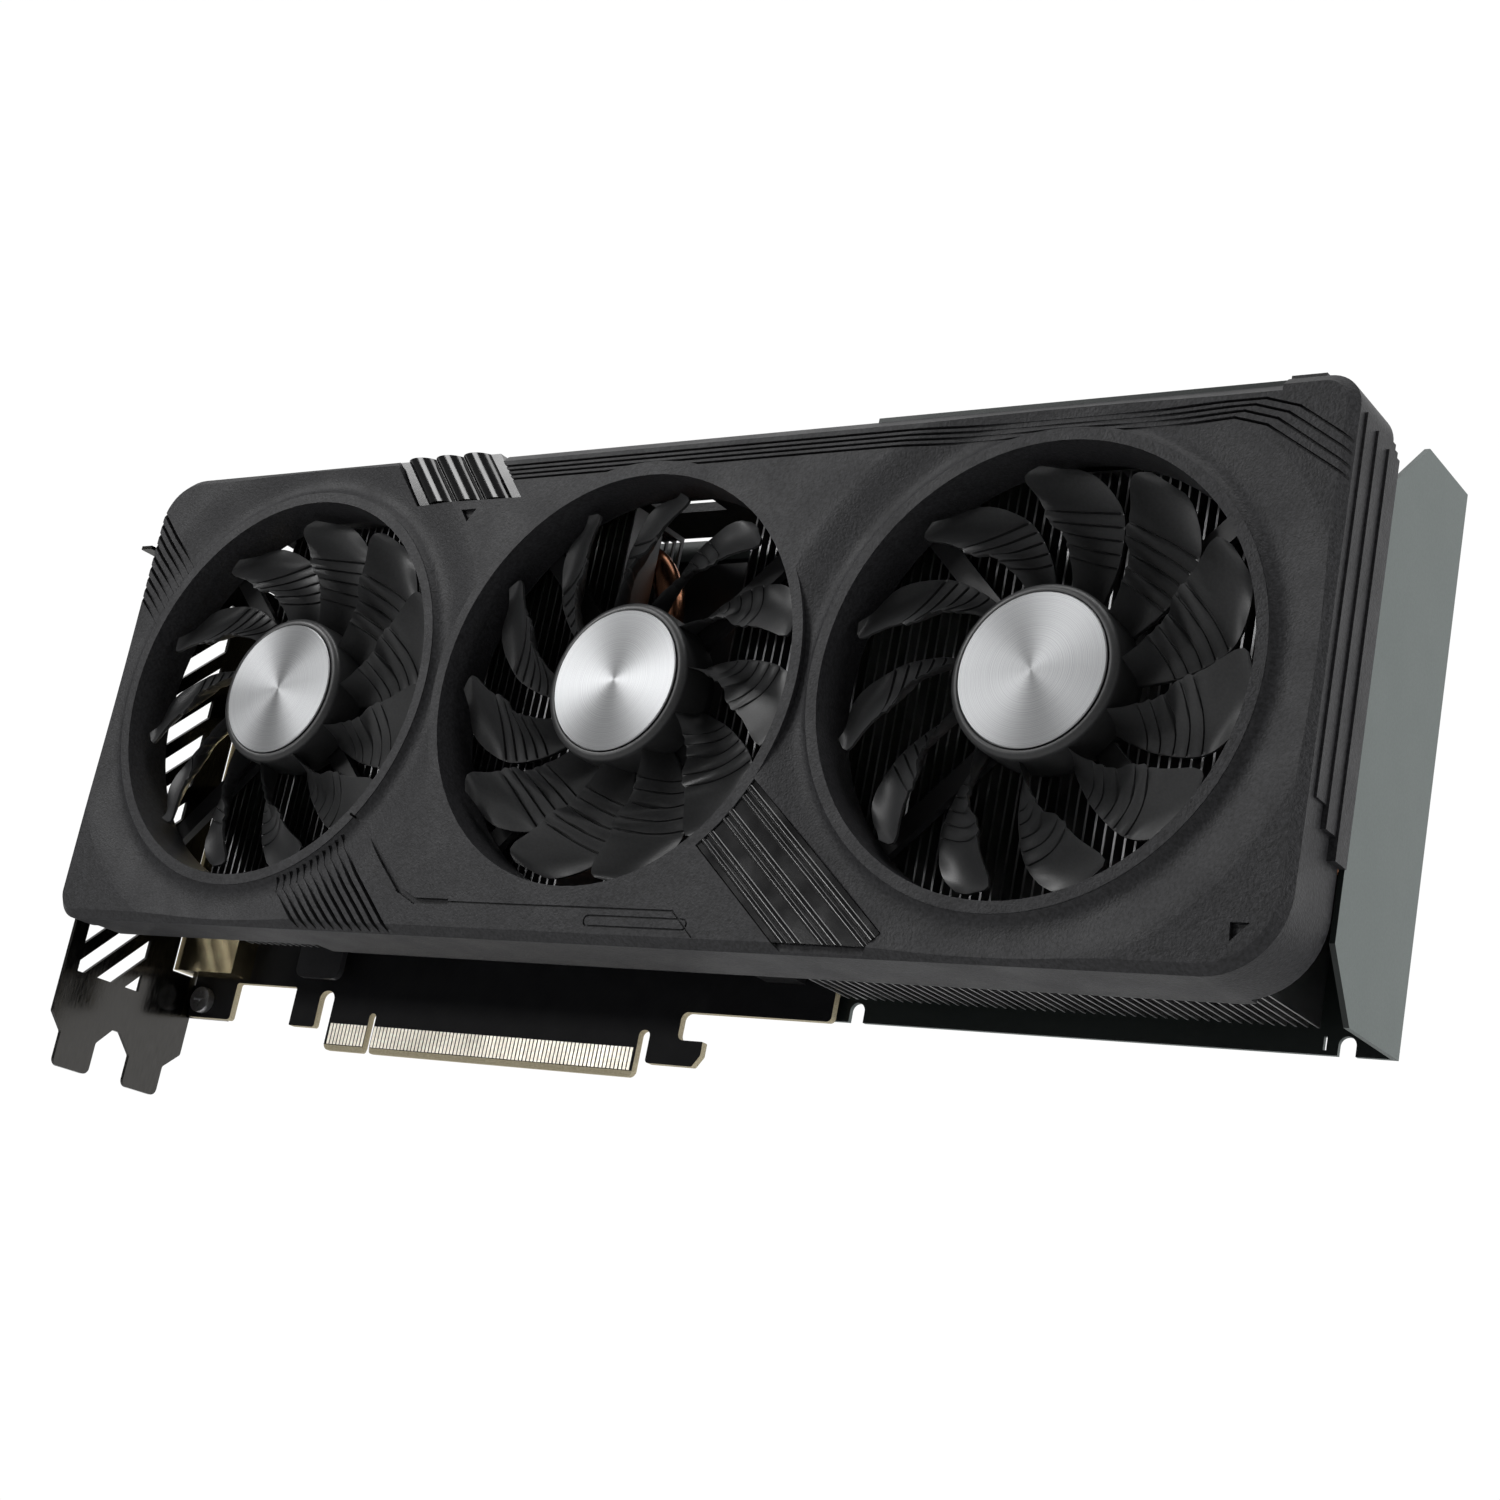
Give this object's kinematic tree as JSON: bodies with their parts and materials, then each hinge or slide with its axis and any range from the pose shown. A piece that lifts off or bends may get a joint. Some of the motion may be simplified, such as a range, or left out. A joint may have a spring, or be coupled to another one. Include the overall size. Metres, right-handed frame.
{
  "type": "graphics card",
  "caption": "Two-slot graphics card with three axial fans under a slate shroud, a finned heatsink with copper pipes, a slot bracket and an edge connector.",
  "frame": {"origin": "centre of the edge connector's key notch, on the board's component face, level with the lower edge of the fingers", "axes": "+X from the slot bracket to the tail, +Y from the fans into the card towards the backplate, +Z away from the edge connector"},
  "size_m": [0.2985, 0.0507, 0.1339],
  "materials": {
    "shroud_plastic": "fine-textured slate plastic",
    "accent_gloss": "polished dark plastic",
    "fan_plastic": "moulded black plastic",
    "cap_metal": "spun",
    "steel": "plain",
    "magnet": "dull",
    "bearing_bronze": "sintered",
    "winding": "enamelled copper wire",
    "fin_aluminium": "stamped",
    "copper": "copper, satin",
    "plate_black": "black coating",
    "board": "black solder mask",
    "gold": "gold plated",
    "chip": "moulded package",
    "silicon": "polished die",
    "pad": "soft thermal pad",
    "choke": "pressed powder",
    "can": "sleeveless can",
    "socket_plastic": "black nylon",
    "bracket_nickel": "dark nickel",
    "backplate_metal": "satin grey-green"
  },
  "bodies": {
    "card": {"shroud": "shroud_plastic", "tube_accent": "accent_gloss", "strip_accent": "accent_gloss", "fan_screws": "steel", "front_fin_stack": "fin_aluminium", "rear_fin_stack": "fin_aluminium", "heat_pipes": "copper", "heat_pipe_loop": "copper", "heatsink_base": "fin_aluminium", "cold_plate": "copper", "component_plate": "plate_black", "heatsink_tabs": "steel", "shroud_screws": "steel", "circuit_board": "board", "edge_contacts": "gold", "gpu_package": "chip", "gpu_die": "silicon", "memory_chips": "chip", "power_transistors": "chip", "thermal_pads": "pad", "power_chokes": "choke", "power_capacitors": "can", "power_socket": "socket_plastic", "power_pins": "gold", "fan_headers": "socket_plastic", "display_sockets": "gold", "hdmi_sockets": "gold", "socket_tongues": "socket_plastic", "io_bracket": "bracket_nickel", "bracket_screws": "steel", "backplate": "backplate_metal", "backplate_spacers": "steel", "backplate_screws": "steel", "retention_bracket": "steel", "retention_screws": "steel", "retention_springs": "steel", "fan_left_bearing": "bearing_bronze", "fan_left_stator": "winding", "fan_left_frame": "fan_plastic", "fan_middle_bearing": "bearing_bronze", "fan_middle_stator": "winding", "fan_middle_frame": "fan_plastic", "fan_right_bearing": "bearing_bronze", "fan_right_stator": "winding", "fan_right_frame": "fan_plastic"},
    "fan_left": {"fan_left_rotor": "fan_plastic", "fan_left_cap": "cap_metal", "fan_left_magnet": "magnet", "fan_left_shaft": "steel"},
    "fan_middle": {"fan_middle_rotor": "fan_plastic", "fan_middle_cap": "cap_metal", "fan_middle_magnet": "magnet", "fan_middle_shaft": "steel"},
    "fan_right": {"fan_right_rotor": "fan_plastic", "fan_right_cap": "cap_metal", "fan_right_magnet": "magnet", "fan_right_shaft": "steel"}
  },
  "joints": [
    {"name": "fan_left_spin", "type": "hinge", "parent": "card", "child": "fan_left", "pos_m": [-0.0076, -0.036, 0.068], "axis": [0, 1, 0], "continuous": true},
    {"name": "fan_middle_spin", "type": "hinge", "parent": "card", "child": "fan_middle", "pos_m": [0.0828, -0.036, 0.068], "axis": [0, 1, 0], "continuous": true},
    {"name": "fan_right_spin", "type": "hinge", "parent": "card", "child": "fan_right", "pos_m": [0.1732, -0.036, 0.068], "axis": [0, 1, 0], "continuous": true}
  ]
}
